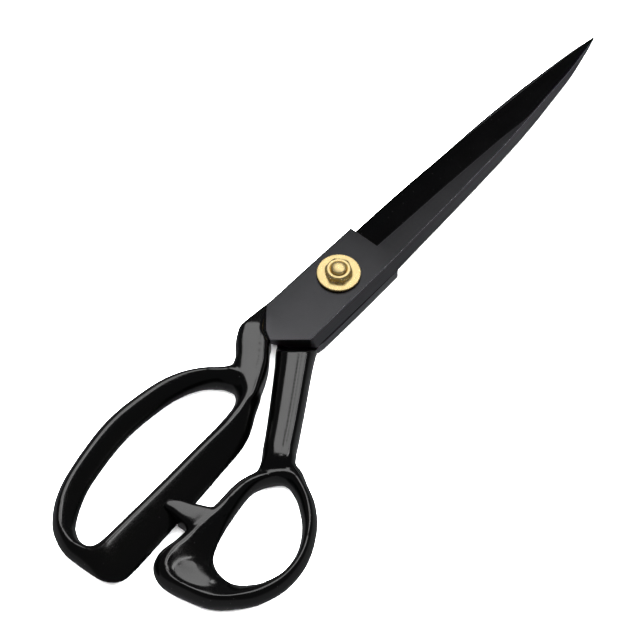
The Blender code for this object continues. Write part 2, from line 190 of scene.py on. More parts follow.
# ---------------------------------------------------------------- meshes
def mesh_object(name, bm):
    """A bmesh in millimetres becomes an object in metres, faces out, shaded smooth."""
    bmesh.ops.scale(bm, vec=(MM, MM, MM), verts=bm.verts)
    bmesh.ops.recalc_face_normals(bm, faces=bm.faces)
    mesh = bpy.data.meshes.new(name)
    bm.to_mesh(mesh)
    bm.free()
    mesh.shade_smooth()
    return link(bpy.data.objects.new(name, mesh))


def loft(rings, closed, bands=None):
    """Skin a row of equal point rings. bands gives each side of the ring its material index."""
    bm = bmesh.new()
    rows = [[bm.verts.new(point) for point in ring] for ring in rings]
    pairs = list(zip(rows, rows[1:]))
    if closed:
        pairs.append((rows[-1], rows[0]))
    for near, far in pairs:
        for i in range(len(near)):
            j = (i + 1) % len(near)
            face = bm.faces.new((near[i], near[j], far[j], far[i]))
            if bands:
                face.material_index = bands[i]
    if not closed:
        bm.faces.new(rows[0])
        bm.faces.new(rows[-1])
    return bm


def apply_modifiers(piece):
    """Make what the modifiers show the piece's own mesh."""
    graph = bpy.context.evaluated_depsgraph_get()
    graph.update()
    result = bpy.data.meshes.new_from_object(piece.evaluated_get(graph))
    piece.modifiers.clear()
    piece.data = result


def cut(piece, tool):
    """Take one closed solid out of another; the tool is used up."""
    boolean = piece.modifiers.new("cut", "BOOLEAN")
    boolean.operation = "DIFFERENCE"
    boolean.solver = "EXACT"
    boolean.object = tool
    apply_modifiers(piece)
    bpy.data.objects.remove(tool)


def blend(values, t):
    """Catmull-Rom between the middle two of four values."""
    a, b, c, d = values
    return 0.5 * (2 * b + (c - a) * t + (2 * a - 5 * b + 4 * c - d) * t * t
                  + (3 * b - a - 3 * c + d) * t * t * t)


SHARPEST_MITRE = 0.5        # a corner moves out by at most twice the distance


def widened(outline, distance):
    """Move a closed outline outwards by a distance."""
    following = outline[1:] + outline[:1]
    area = sum(x1 * y2 - x2 * y1 for (x1, y1), (x2, y2) in zip(outline, following))
    outside = 1 if area > 0 else -1
    moved = []
    for before, here, after in zip(outline[-1:] + outline[:-1], outline, following):
        arriving = (Vector(here) - Vector(before)).normalized()
        leaving = (Vector(after) - Vector(here)).normalized()
        normal_a = Vector((arriving.y, -arriving.x)) * outside
        normal_b = Vector((leaving.y, -leaving.x)) * outside
        bisector = (normal_a + normal_b).normalized()
        mitre = max(bisector.dot(normal_a), SHARPEST_MITRE)
        moved.append(tuple(Vector(here) + bisector * distance / mitre))
    return moved


def flared_slab(name, low_outline, high_outline, low, high):
    """A closed solid between two outlines with as many points, at two heights."""
    rings = [[(x, y, low) for x, y in low_outline], [(x, y, high) for x, y in high_outline]]
    return mesh_object(name, loft(rings, closed=False))


# ---------------------------------------------------------------- blades
# Place along X, low and high corner of the spine, crest of the ground bevel, cutting edge,
# height of the edge's wall, thickness.
FRONT_TAIL = [
    (-33.4, -0.3, -0.3, 0.25, 0.3, 4.5, 4.6),
    (-31.5, -2.5, -2.5, 3.5, 3.6, 4.5, 4.6),
    (-25.0, -10.0, -9.8, 8.9, 9.0, 4.5, 4.6),
    (-23.8, -11.4, -9.8, 9.65, 9.75, 4.5, 4.6),
    (0.0, -11.3, -9.6, 9.2, 9.3, 4.5, 4.6),
    (16.1, -11.2, -9.4, 8.8, 8.9, 4.5, 4.6),
]
FRONT_CUTTING = [
    (16.35, -11.2, -9.4, -2.0, 8.85, 0.35, 4.6),
    (30.0, -10.6, -8.8, -2.4, 8.55, 0.35, 4.35),
    (45.0, -9.95, -8.2, -2.8, 8.0, 0.35, 4.1),
    (60.0, -9.2, -7.5, -3.4, 7.1, 0.35, 3.85),
    (75.0, -8.3, -6.7, -4.1, 6.0, 0.35, 3.65),
    (87.0, -7.15, -5.6, -5.0, 5.05, 0.35, 3.4),
    (95.0, -6.1, -4.7, -4.3, 4.4, 0.35, 3.1),
    (103.0, -5.0, -3.8, -3.5, 3.7, 0.3, 2.7),
    (110.0, -3.9, -2.9, -2.7, 3.1, 0.3, 2.2),
    (117.5, -2.2, -1.5, -1.3, 2.3, 0.3, 1.5),
    (122.0, -1.1, -0.6, -0.5, 1.75, 0.3, 1.0),
    (126.3, 0.3, 0.4, 0.45, 1.05, 0.25, 0.45),
]
REAR_TAIL = [
    (-26.6, -1.0, -1.0, 1.0, 1.1, 4.5, 4.6),
    (-25.4, -5.0, -5.0, 6.4, 6.5, 4.5, 4.6),
    (-22.4, -9.6, -9.6, 10.9, 11.0, 4.5, 4.6),
    (-20.0, -10.6, -9.6, 11.3, 11.4, 4.5, 4.6),
    (0.0, -10.2, -8.9, 11.1, 11.2, 4.5, 4.6),
    (16.5, -9.5, -8.2, 10.7, 10.8, 4.5, 4.6),
]
REAR_CUTTING = [
    (16.75, -9.0, -8.0, 2.0, 10.3, 0.35, 4.6),
    (30.0, -8.65, -7.6, 2.4, 9.8, 0.35, 4.35),
    (45.0, -8.15, -7.1, 2.8, 9.2, 0.35, 4.1),
    (60.0, -7.6, -6.5, 3.2, 8.4, 0.35, 3.85),
    (75.0, -7.0, -5.9, 3.2, 7.5, 0.35, 3.65),
    (87.0, -6.25, -5.2, 1.0, 6.3, 0.35, 3.4),
    (95.0, -5.6, -4.6, -3.0, 5.2, 0.35, 3.1),
    (103.0, -4.75, -3.9, -3.4, 4.1, 0.3, 2.7),
    (110.0, -3.95, -3.3, -3.1, 2.9, 0.3, 2.2),
    (117.5, -3.0, -2.5, -2.3, 1.2, 0.3, 1.5),
    (122.0, -2.25, -1.9, -1.8, 0.0, 0.3, 1.0),
    (125.7, -1.2, -1.1, -1.05, -0.65, 0.25, 0.45),
]
SPINE, FLAT, BEVEL, EDGE, INNER, ARRIS = range(6)
ARRIS_RADIUS = 0.14
CORNER_SHARE = 0.3          # share of a side that the rounding at one end may take
LIP = 0.45                  # chamfer of the plates' inner edge
BLADE_STEPS = 8             # sections from one cutting row to the next
BLADE_SHARP = math.radians(12)      # an edge that turns by more than this is shaded sharp
# Wedge cut from under the front plate's heel: it reaches further in at its low face
RELIEF_SIDES = (-9, 6)
RELIEF_BACK = -40
RELIEF_FRONT = (-28.5, -33.6)       # at its low and high face
RELIEF_HEIGHTS = (FRONT_LOW - 0.5, FRONT_LOW + 2.4)


def smooth_rows(rows, steps):
    """More sections between the given ones, on a curve through them."""
    fine = []
    for i in range(len(rows) - 1):
        first = rows[max(i - 1, 0)]
        last = rows[min(i + 2, len(rows) - 1)]
        for step in range(steps):
            columns = zip(first, rows[i], rows[i + 1], last)
            fine.append(tuple(blend(column, step / steps) for column in columns))
    fine.append(rows[-1])
    return fine


def soft_corners(profile, bands, radius):
    """Cut each corner of a profile into two points; the short side takes the next band."""
    points = []
    sides = []
    count = len(profile)
    for i in range(count):
        here = Vector(profile[i])
        back = Vector(profile[i - 1]) - here
        ahead = Vector(profile[(i + 1) % count]) - here
        points.append(tuple(here + back.normalized() * min(radius, back.length * CORNER_SHARE)))
        points.append(tuple(here + ahead.normalized() * min(radius, ahead.length * CORNER_SHARE)))
        sides += [bands[i], bands[i]]
    return points, sides


def make_relief():
    """The solid that make_blade cuts from under the front plate's heel."""
    low, high = [[(RELIEF_BACK, RELIEF_SIDES[0]), (front, RELIEF_SIDES[0]),
                  (front, RELIEF_SIDES[1]), (RELIEF_BACK, RELIEF_SIDES[1])] for front in RELIEF_FRONT]
    return flared_slab("relief", low, high, *RELIEF_HEIGHTS)


def make_blade(name, tail, cutting, inner_face, side, body, finishes, cutters):
    """side is 1 for the front blade and -1 for the rear one, which is turned over."""
    rows = tail + smooth_rows(cutting, BLADE_STEPS)
    rings = []
    for x, spine_low, spine_high, crest, edge, edge_height, thickness in rows:
        lip = LIP if edge_height > LIP else ARRIS_RADIUS / 2    # the ground edge is too thin
        profile = [(spine_low, 0), (spine_high, thickness), (crest, thickness),
                   (edge, edge_height), (edge, lip), (edge - lip, 0)]
        bands = [SPINE, FLAT, BEVEL, EDGE, INNER, INNER]
        points, bands = soft_corners(profile, bands, ARRIS_RADIUS)
        # This rounding's band takes the arris steel, a painted highlight line along the edge.
        bands[2] = ARRIS        # the rounding between the spine's side and the flat
        rings.append([(x, side * y, inner_face + side * z) for y, z in points])
    blade = mesh_object(name, loft(rings, closed=False, bands=bands))
    for finish in finishes:
        blade.data.materials.append(finish)
    for cutter in cutters:
        cut(blade, cutter)
    blade.data.set_sharp_from_angle(angle=BLADE_SHARP)
    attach(blade, body)
    return blade


def plate_outline(tail, side, distance):
    """Outline of a plate from its heel to the pivot, moved out by a distance."""
    rows = [row for row in tail if row[0] <= 0]
    edge = [(row[0], side * row[4]) for row in rows]
    spine = [(row[0], side * min(row[1], row[2])) for row in rows]
    return widened(edge + spine[::-1], distance)


# ---------------------------------------------------------------- handles
# All the way round the hole: outer point, point on the hole's edge, how far the ridge lies
# from the outer point (0 to 1), half height.
FINGER_BOW = [
    ((-45.5, 1.5), (-54.8, 0.5), 0.46, 5.6),
    ((-49.5, 5.5), (-56.3, 3.2), 0.5, 5.4),
    ((-54.2, 10.5), (-59.5, 6.0), 0.42, 5.0),
    ((-61.1, 15.3), (-64.7, 8.4), 0.38, 4.8),
    ((-71.4, 18.6), (-72.9, 10.3), 0.36, 4.8),
    ((-90.0, 20.1), (-89.8, 11.2), 0.31, 5.0),
    ((-110.4, 16.8), (-108.6, 8.4), 0.27, 5.0),
    ((-121.9, 13.0), (-118.6, 5.0), 0.26, 4.8),
    ((-130.0, 7.5), (-125.5, 1.2), 0.27, 4.5),
    ((-133.7, 2.4), (-127.7, -1.2), 0.32, 4.3),
    ((-135.6, -2.5), (-128.9, -3.3), 0.41, 4.3),
    ((-135.9, -7.0), (-129.3, -4.9), 0.5, 4.4),
    ((-135.9, -12.0), (-129.2, -6.7), 0.58, 4.7),
    ((-135.6, -19.0), (-128.1, -8.0), 0.7, 5.1),
    ((-131.8, -23.6), (-125.9, -8.8), 0.78, 5.5),
    ((-124.6, -24.1), (-121.5, -9.1), 0.81, 5.7),
    ((-112.0, -23.2), (-111.0, -9.0), 0.8, 5.8),
    ((-96.0, -21.9), (-96.0, -8.7), 0.77, 5.8),
    ((-80.5, -20.4), (-80.5, -8.2), 0.74, 5.8),
    ((-66.4, -18.6), (-67.0, -7.7), 0.68, 5.8),
    ((-55.8, -13.6), (-58.3, -6.4), 0.56, 5.8),
    ((-47.6, -8.6), (-54.3, -2.8), 0.42, 5.7),
]
THUMB_BOW = [
    ((-79.0, -26.6), (-79.3, -32.5), 0.62, 4.3),
    ((-91.8, -27.0), (-91.4, -34.5), 0.4, 4.9),
    ((-103.0, -26.7), (-98.7, -36.5), 0.32, 5.0),
    ((-110.9, -26.3), (-103.4, -38.4), 0.28, 5.0),
    ((-116.9, -25.7), (-106.6, -40.4), 0.26, 5.0),
    ((-122.0, -28.1), (-108.4, -42.9), 0.2, 4.8),
    ((-124.6, -33.4), (-109.3, -45.5), 0.16, 4.5),
    ((-123.4, -41.9), (-109.6, -48.6), 0.15, 4.2),
    ((-120.9, -50.3), (-108.6, -51.9), 0.18, 4.0),
    ((-115.4, -57.1), (-106.0, -55.1), 0.25, 4.0),
    ((-108.7, -62.0), (-102.5, -57.9), 0.36, 4.0),
    ((-98.7, -64.7), (-95.5, -59.9), 0.45, 4.1),
    ((-87.6, -63.3), (-87.5, -58.5), 0.5, 4.2),
    ((-77.3, -58.1), (-79.6, -53.7), 0.5, 4.4),
    ((-70.3, -51.7), (-74.3, -48.0), 0.5, 4.6),
    ((-65.9, -44.5), (-71.4, -43.5), 0.52, 4.6),
    ((-62.2, -36.5), (-69.9, -38.3), 0.68, 4.1),
    ((-68.0, -30.4), (-72.5, -34.5), 0.82, 3.9),
]
FINGER_BAR = FINGER_BOW[15:20]      # the straight side, which the stop lug reaches towards
CRISP_POWER = 1.32          # section of a broad flank: flat, with a crisp ridge
SOFT_POWER = 1.65           # section of a narrow flank: nearly an ellipse
NARROW_FLANK = 5            # a flank up to this wide has the soft power
CRISPER_PER_MM = 0.1        # how much a wider flank's power drops
RIM_POINTS = 12             # points in a quarter of a bow's section
TINY = 1e-9                 # the last angle's sine isn't quite 0
BOW_STEPS = 10              # sections from one row of a closed bow to the next
PIECE_STEPS = 3             # the same for a piece of a bow
BAR_STEPS = 4               # the same for a shank or lug
# Upper face of the thumb's pad, from the ridge to the hole: share of the way, share of height
PAD_PROFILE = [(0.0, 1.0), (0.04, 0.975), (0.1, 0.88), (0.18, 0.82), (0.3, 0.8), (0.45, 0.785),
               (0.62, 0.75), (0.75, 0.65), (0.87, 0.46), (0.95, 0.26), (1.0, 0.0)]
PAD_CENTRE = (-116.8, -41.0)
PAD_FULL = 3.5              # sections with their middle this near the centre have the whole pad
PAD_NONE = 8.5              # and from here on they have none of it

# Shanks and lug seen from above: left point, right point, half height
FINGER_SHANK = [
    ((-20.0, 11.0), (-18.5, 5.0), 2.8),
    ((-26.5, 11.25), (-23.6, 3.9), 4.1),
    ((-32.4, 11.3), (-27.8, 2.8), 5.3),
    ((-35.6, 11.3), (-30.4, 1.6), 5.7),
    ((-38.2, 10.1), (-32.85, -0.05), 5.7),
    ((-39.5, 9.3), (-34.45, -0.95), 5.7),
    ((-41.8, 7.5), (-36.8, -2.8), 5.7),
    ((-44.5, 5.1), (-40.0, -5.2), 5.7),
    ((-47.6, 3.4), (-43.4, -7.1), 5.7),
    ((-51.2, -1.6), (-47.0, -8.7), 5.7),
    ((-54.6, -6.6), (-52.6, -11.0), 5.75),
    ((-61.4, -9.0), (-60.8, -11.9), 5.8),
    ((-68.8, -10.4), (-68.6, -12.6), 5.75),
]
THUMB_SHANK = [
    ((-20.0, 3.5), (-16.3, -7.0), 5.7),
    ((-27.0, 1.6), (-21.7, -10.6), 5.7),
    ((-33.6, -2.5), (-28.3, -14.3), 5.7),
    ((-39.0, -6.6), (-33.5, -17.5), 5.7),
    ((-50.0, -14.3), (-43.7, -24.0), 5.7),
    ((-59.0, -20.4), (-52.8, -29.7), 5.7),
    ((-64.8, -24.1), (-58.7, -33.3), 5.7),
    ((-68.7, -26.8), (-62.5, -36.1), 5.65),
    ((-71.4, -28.0), (-65.2, -37.2), 4.5),
    ((-75.0, -29.6), (-67.8, -37.6), 2.6),
]
STOP_LUG = [
    ((-107.0, -32.5), (-90.5, -33.0), 4.2),
    ((-104.6, -27.2), (-93.0, -27.8), 5.0),
    ((-104.2, -23.0), (-95.8, -23.2), 5.2),
    ((-103.8, -19.8), (-97.5, -19.3), 5.2),
    ((-104.0, -17.6), (-99.2, -17.0), 5.15),
    ((-103.9, -16.3), (-100.7, -15.9), 5.1),
    ((-103.4, -15.6), (-101.9, -15.4), 5.0),
]
# Upper half of a shank's section, right to left: place across (-1 to 1), share of height
FINGER_PROFILE = [(-1.0, 0.0), (-0.995, 0.3), (-0.97, 0.55), (-0.91, 0.75), (-0.82, 0.9),
                  (-0.72, 0.965), (-0.6, 0.985), (-0.51, 0.988), (-0.45, 0.93), (-0.39, 0.988),
                  (-0.2, 0.992), (0.2, 1.0), (0.62, 0.99), (0.76, 0.95), (0.88, 0.83),
                  (0.95, 0.64), (0.99, 0.35), (1.0, 0.0)]
THUMB_PROFILE = [(-1.0, 0.0), (-0.99, 0.3), (-0.96, 0.52), (-0.9, 0.72), (-0.82, 0.87),
                 (-0.72, 0.95), (-0.62, 0.98), (-0.47, 0.988), (-0.34, 0.955), (-0.21, 0.988),
                 (-0.1, 0.995), (0.1, 1.0), (0.36, 0.99), (0.48, 0.945), (0.62, 0.84),
                 (0.78, 0.66), (0.92, 0.4), (1.0, 0.0)]
LUG_PROFILE = [(-1.0, 0.0), (-0.98, 0.4), (-0.93, 0.68), (-0.84, 0.87), (-0.68, 0.96),
               (-0.4, 0.99), (0.0, 1.0), (0.45, 0.995), (0.72, 0.975), (0.86, 0.92),
               (0.94, 0.78), (0.985, 0.5), (1.0, 0.0)]
SHANK_HALF_HEIGHT = 5.7     # below the middle, no shank reaches further than this
LUG_UNDERSIDE = -0.8        # the lug stops just below the middle
SHANK_TOP = MIDDLE + SHANK_HALF_HEIGHT + 0.1
ROOM_LOW = -20              # heights well below and above the handles, where a blade's room ends
ROOM_HIGH = FRONT_HIGH + 20
BEDDING = 0.6               # how far a handle is let into its own blade's edge
FINGER_SHOULDER = FRONT_HIGH - 1.2  # from here up the finger shank falls back from its plate
BED_TOP = FRONT_HIGH - 0.9  # a little higher, so that the cuts below and above it overlap
FINGER_SLOPE = 1.7          # how far the finger shank falls back, up to SHANK_TOP
THUMB_SLOPE = 4.8           # the same for the thumb shank, which starts at REAR_HIGH
VOXEL = 0.4                 # grid that merges a handle's solids
SMOOTH_FACTOR = 0.5
SMOOTHING = 7               # rounds of smoothing all over, which take out the grid's steps
FILLET_SMOOTHING = 40       # rounds of smoothing in the fillets
# Fillets seen from above: centre, radius
FINGER_FILLETS = [((-48.0, 3.5), 4.5), ((-51.5, -5.0), 6.5), ((-58.0, -10.0), 5.0)]
THUMB_FILLETS = [((-70.8, -27.4), 7.0), ((-62.6, -36.0), 6.0), ((-92.0, -27.5), 5.0),
                 ((-107.0, -28.0), 5.0)]


def along_profile(profile, share):
    """Height share on a pad profile at a share of the way."""
    for (x0, z0), (x1, z1) in zip(profile, profile[1:]):
        if share <= x1:
            return z0 + (z1 - z0) * (share - x0) / (x1 - x0)
    return 0.0


def bow_section(values, clearance):
    """One section: outer edge, ridge, hole's edge, and the same below."""
    outer = Vector(values[0:2])
    inner = Vector(values[2:4])
    across = (outer - inner).normalized()
    ridge = outer.lerp(inner, values[4])
    reach_out = (outer - ridge).length + clearance
    reach_in = (ridge - inner).length + clearance
    half_height = values[5] + clearance
    away = (ridge.lerp(inner, 0.5) - Vector(PAD_CENTRE)).length
    padded = min(max((PAD_NONE - away) / (PAD_NONE - PAD_FULL), 0), 1)
    padded = padded * padded * (3 - 2 * padded) if clearance == 0 else 0
    upper = []
    for k in range(2 * RIM_POINTS + 1):
        angle = math.pi / 2 * k / RIM_POINTS
        c = math.cos(angle)
        s = math.sin(angle)
        reach = reach_out if c > 0 else reach_in
        power = SOFT_POWER - CRISPER_PER_MM * (reach - NARROW_FLANK)
        power = min(max(power, CRISP_POWER), SOFT_POWER)
        way = abs(c) ** (2 / power)
        height = s ** (2 / power) if s > TINY else 0.0
        if c < 0:
            height += (along_profile(PAD_PROFILE, way) - height) * padded
            reach = -reach
        upper.append((reach * way, half_height * height))
    lower = [(w, -z) for w, z in upper[-2:0:-1]]
    ring = []
    for w, z in upper + lower:
        spot = ridge + across * w
        ring.append((spot.x, spot.y, MIDDLE + z))
    return ring


def bow_rings(sections, clearance=0.0, closed=True):
    """Rings of a whole bow or of a piece of one, widened all round by a clearance."""
    rows = [(*outer, *inner, ridge, height) for outer, inner, ridge, height in sections]
    if not closed:
        return [bow_section(values, clearance) for values in smooth_rows(rows, PIECE_STEPS)]
    count = len(rows)
    rings = []
    for i in range(count):
        neighbours = [rows[(i + k) % count] for k in (-1, 0, 1, 2)]
        for step in range(BOW_STEPS):
            values = [blend(column, step / BOW_STEPS) for column in zip(*neighbours)]
            rings.append(bow_section(values, clearance))
    return rings


def bar_solid(name, sections, profile, underside=-SHANK_HALF_HEIGHT):
    """A closed bar whose section follows a profile between its left and right edges."""
    rows = [(*left, *right, half_height) for left, right, half_height in sections]
    rings = []
    for left_x, left_y, right_x, right_y, half_height in smooth_rows(rows, BAR_STEPS):
        left = Vector((left_x, left_y))
        right = Vector((right_x, right_y))
        middle = (left + right) / 2
        reach = (left - right) / 2
        upper = [(u, v * half_height) for u, v in profile]
        lower = [(u, max(-z, underside)) for u, z in upper[-2:0:-1]]
        ring = []
        for u, z in upper + lower:
            spot = middle + reach * u
            ring.append((spot.x, spot.y, MIDDLE + z))
        rings.append(ring)
    return mesh_object(name, loft(rings, closed=False))


def join_solids(name, solids):
    """Put closed solids in one mesh; the voxel remesh then merges them."""
    bm = bmesh.new()
    for solid in solids:
        bm.from_mesh(solid.data)
        bpy.data.objects.remove(solid)
    mesh = bpy.data.meshes.new(name)
    bm.to_mesh(mesh)
    bm.free()
    return link(bpy.data.objects.new(name, mesh))


def cast(piece, fillets):
    """Merge overlapping solids into one skin with soft fillets, as a casting has."""
    remesh = piece.modifiers.new("remesh", "REMESH")
    remesh.mode = "VOXEL"
    remesh.voxel_size = VOXEL * MM
    apply_modifiers(piece)
    group = piece.vertex_groups.new(name="fillets")
    for vertex in piece.data.vertices:
        spot = Vector((vertex.co.x / MM, vertex.co.y / MM))
        weight = max(1 - (spot - Vector(centre)).length / radius for centre, radius in fillets)
        if weight > 0:
            group.add([vertex.index], min(1.0, 2 * weight), "REPLACE")
    rounding = piece.modifiers.new("fillets", "SMOOTH")
    rounding.factor = SMOOTH_FACTOR
    rounding.iterations = FILLET_SMOOTHING
    rounding.vertex_group = "fillets"
    soften = piece.modifiers.new("soften", "SMOOTH")
    soften.factor = SMOOTH_FACTOR
    soften.iterations = SMOOTHING
    apply_modifiers(piece)
    piece.data.shade_smooth()


def make_handle(name, node, bow, bars, fillets, body, finish):
    ring = mesh_object("bow", loft(bow_rings(bow), closed=True))
    handle = join_solids(name, [ring] + bars)
    cast(handle, fillets)
    handle.data.materials.append(finish)
    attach(handle, body)
    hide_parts(node)


def make_finger_handle(finish):
    """The bow and its bent shank, with room for the front blade's plate."""
    bed = plate_outline(FRONT_TAIL, 1, -BEDDING)
    shank = bar_solid("shank", FINGER_SHANK, FINGER_PROFILE)
    cut(shank, flared_slab("front_room", bed, bed, ROOM_LOW, BED_TOP))
    cut(shank, flared_slab("front_room", bed, plate_outline(FRONT_TAIL, 1, FINGER_SLOPE),
                           FINGER_SHOULDER, SHANK_TOP))
    make_handle("finger_handle_cast", "finger_handle", FINGER_BOW, [shank], FINGER_FILLETS,
                "finger_half", finish)


def make_thumb_handle(finish):
    """The bow, its shank and the stop lug, clear of the front blade and of the finger bow."""
    bed = plate_outline(REAR_TAIL, -1, -BEDDING)
    clear = plate_outline(FRONT_TAIL, 1, GAP)
    shank = bar_solid("shank", THUMB_SHANK, THUMB_PROFILE)
    cut(shank, flared_slab("rear_room", bed, bed, ROOM_LOW, ROOM_HIGH))
    cut(shank, flared_slab("front_room", clear, plate_outline(FRONT_TAIL, 1, GAP + THUMB_SLOPE),
                           REAR_HIGH, SHANK_TOP))
    lug = bar_solid("lug", STOP_LUG, LUG_PROFILE, LUG_UNDERSIDE)
    bar_room = loft(bow_rings(FINGER_BAR, GAP, closed=False), closed=False)
    cut(lug, mesh_object("bar_room", bar_room))
    make_handle("thumb_handle_cast", "thumb_handle", THUMB_BOW, [shank, lug], THUMB_FILLETS,
                "thumb_half", finish)


# ---------------------------------------------------------------- fasteners
TURN_STEPS = 96
TURN_ANGLES = [2 * math.pi * k / TURN_STEPS for k in range(TURN_STEPS)]
ARC_STEPS = 6
FASTENER_SHARP = math.radians(35)   # as BLADE_SHARP
WASHER_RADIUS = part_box("front_washer")[1].x / MM
WASHER_BORE = 2.7
NUT_BORE = 2.6
NUT_FLAT = 4.0              # from the axis to the middle of a flat
HEAD_THICKNESS = 1.5
HEAD_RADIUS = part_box("pivot_bolt")[1].x / MM
BOLT_RADIUS = 2.45


def arc(centre, radius, start, end):
    """Points of a rounded corner in a turned profile, angles in degrees."""
    points = []
    for k in range(ARC_STEPS + 1):
        angle = math.radians(start + (end - start) * k / ARC_STEPS)
        points.append((centre[0] + radius * math.cos(angle), centre[1] + radius * math.sin(angle)))
    return points


def turned(name, profile):
    """Spin a profile of (radius, height) about the pivot axis; points on the axis are shared."""
    bm = bmesh.new()
    rows = []
    for radius, height in profile:
        if radius == 0:
            rows.append([bm.verts.new((0, 0, height))] * TURN_STEPS)
            continue
        rows.append([bm.verts.new((radius * math.cos(a), radius * math.sin(a), height))
                     for a in TURN_ANGLES])
    pairs = list(zip(rows, rows[1:]))
    if rows[0][0] is not rows[0][1]:
        pairs.append((rows[-1], rows[0]))
    for near, far in pairs:
        for i in range(TURN_STEPS):
            j = (i + 1) % TURN_STEPS
            corners = []
            for vertex in (near[i], near[j], far[j], far[i]):
                if vertex not in corners:
                    corners.append(vertex)
            bm.faces.new(corners)
    return mesh_object(name, bm)


def finish_brass(piece, node, finish):
    """What the nut, the bolt and the front washer share."""
    piece.data.materials.append(finish)
    piece.data.set_sharp_from_angle(angle=FASTENER_SHARP)
    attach(piece, "thumb_half")
    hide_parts(node)


def make_washer(finish):
    """Brass washer: a rounded upper edge, and the bore's upper edge chamfered."""
    lean = 0.1                  # the rim is this much narrower at the foot
    rounding = 0.28
    chamfer = 0.15
    profile = [(WASHER_BORE, WASHER_LOW), (WASHER_RADIUS - lean, WASHER_LOW)]
    profile += arc((WASHER_RADIUS - rounding, WASHER_HIGH - rounding), rounding, 0, 90)
    profile += [(WASHER_BORE + chamfer, WASHER_HIGH), (WASHER_BORE, WASHER_HIGH - chamfer)]
    finish_brass(turned("brass_washer", profile), "front_washer", finish)


def make_spacer(finish):
    """Thin steel washer between the blades."""
    low, high = [corner.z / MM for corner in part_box("inner_washer")]
    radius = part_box("inner_washer")[1].x / MM
    chamfer = 0.05
    profile = [(WASHER_BORE, low), (radius - chamfer, low), (radius, low + chamfer),
               (radius, high - chamfer), (radius - chamfer, high), (WASHER_BORE, high)]
    spacer = turned("steel_spacer", profile)
    spacer.data.materials.append(finish)
    spacer.data.set_sharp_from_angle(angle=FASTENER_SHARP)
    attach(spacer, "thumb_half")
    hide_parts("inner_washer")


def make_nut(finish):
    """Thin hexagonal nut: its upper corners turned down, its bore opened out at the top."""
    corner = NUT_FLAT / math.cos(math.pi / 6)
    blunt = 0.1                 # taken off each corner
    flat_drop = 0.25            # the sides end this far below the top, at a flat
    corner_drop = 0.45          # and this much lower at a full corner
    crown = 0.35                # radius of the rounding between the sides and the top
    crown_centre = 3.62
    chamfer = 0.4
    hexagon = [min(NUT_FLAT / math.cos(a % (math.pi / 3) - math.pi / 6), corner - blunt)
               for a in TURN_ANGLES]
    shoulder = [NUT_HIGH - flat_drop - corner_drop * (r - NUT_FLAT) / (corner - NUT_FLAT)
                for r in hexagon]
    rows = [([NUT_BORE] * TURN_STEPS, [NUT_LOW] * TURN_STEPS), (hexagon, [NUT_LOW] * TURN_STEPS),
            (hexagon, shoulder)]
    top = arc((crown_centre, NUT_HIGH - crown), crown, 25, 90)
    top += [(NUT_BORE + chamfer, NUT_HIGH), (NUT_BORE, NUT_HIGH - chamfer)]
    for radius, height in top:
        rows.append(([radius] * TURN_STEPS, [height] * TURN_STEPS))
    rings = [[(r * math.cos(a), r * math.sin(a), z) for a, r, z in zip(TURN_ANGLES, radii, heights)]
             for radii, heights in rows]
    finish_brass(mesh_object("brass_nut", loft(rings, closed=True)), "hex_nut", finish)


def make_bolt(finish):
    """Pivot bolt: a rounded end above the nut, and a low head that curves up to its rim."""
    tip = 0.55
    rim = 0.35
    profile = [(0, BOLT_TOP), (1.2, BOLT_TOP - 0.05)]
    profile += reversed(arc((BOLT_RADIUS - tip, BOLT_TOP - 0.7), tip, 0, 80))
    profile += [(BOLT_RADIUS, NUT_HIGH + 0.1), (BOLT_RADIUS, HEAD_THICKNESS)]
    profile += [(HEAD_RADIUS - 0.3, HEAD_THICKNESS)]
    profile += reversed(arc((HEAD_RADIUS - rim, HEAD_THICKNESS - rim), rim, 0, 80))
    profile += [(HEAD_RADIUS - 0.25, 0.4), (HEAD_RADIUS - 1.3, 0.05), (HEAD_RADIUS - 2.2, 0)]
    profile += [(0, 0)]
    finish_brass(turned("brass_bolt", profile), "pivot_bolt", finish)


# ---------------------------------------------------------------- materials
NOISE_LOW = 0.3             # noise seldom leaves the range between these two
NOISE_HIGH = 0.7
BLUISH = 1.06               # how much stronger the steel's blue is than its red and green
# Steel tones: place along X in millimetres, grey. On the satin, side and strip faces the level is the
# steel's own grey, and the change along X is painted sheen: the key's reflection changing along the
# blade, on the satin flats brighter near the handles and fading towards the tip.
SATIN_TONES_WITH_SHEEN = [(-34, 0.14), (-12, 0.106), (10, 0.076), (19, 0.053), (80, 0.04)]
SIDE_TONES_WITH_SHEEN = [(-34, 0.34), (20, 0.37), (85, 0.56), (112, 0.46)]
STRIP_TONES_WITH_SHEEN = [(-27, 0.56), (20, 0.58), (75, 0.5), (110, 0.58)]
# Arris: a painted highlight line, far lighter than the flat, along the rounded edge between the
# spine's side and the flat.
ARRIS_PAINTED_HIGHLIGHT_TONES = [(-34, 0.9), (20, 0.8), (110, 0.8)]
GROUND_TONES = [(16, 0.0002), (126, 0.0002)]
WASHER_TONES = [(-8, 0.5), (8, 0.52)]
BRASS_TONE = (1.0, 0.78, 0.37)
ENAMEL_TONE = (0.00004, 0.00004, 0.00004)


def principled(name):
    finish = bpy.data.materials.new(name)
    finish.use_nodes = True
    nodes = finish.node_tree.nodes
    return finish, nodes, finish.node_tree.links, nodes["Principled BSDF"]


def noise(nodes, links, scale, detail, stretch=(1, 1, 1)):
    """Solid noise that stays with the piece; stretch squeezes it along an axis."""
    place = nodes.new("ShaderNodeTexCoord")
    mapping = nodes.new("ShaderNodeMapping")
    mapping.inputs["Scale"].default_value = stretch
    texture = nodes.new("ShaderNodeTexNoise")
    texture.inputs["Scale"].default_value = scale
    texture.inputs["Detail"].default_value = detail
    links.new(place.outputs["Object"], mapping.inputs["Vector"])
    links.new(mapping.outputs["Vector"], texture.inputs["Vector"])
    return texture.outputs["Fac"]


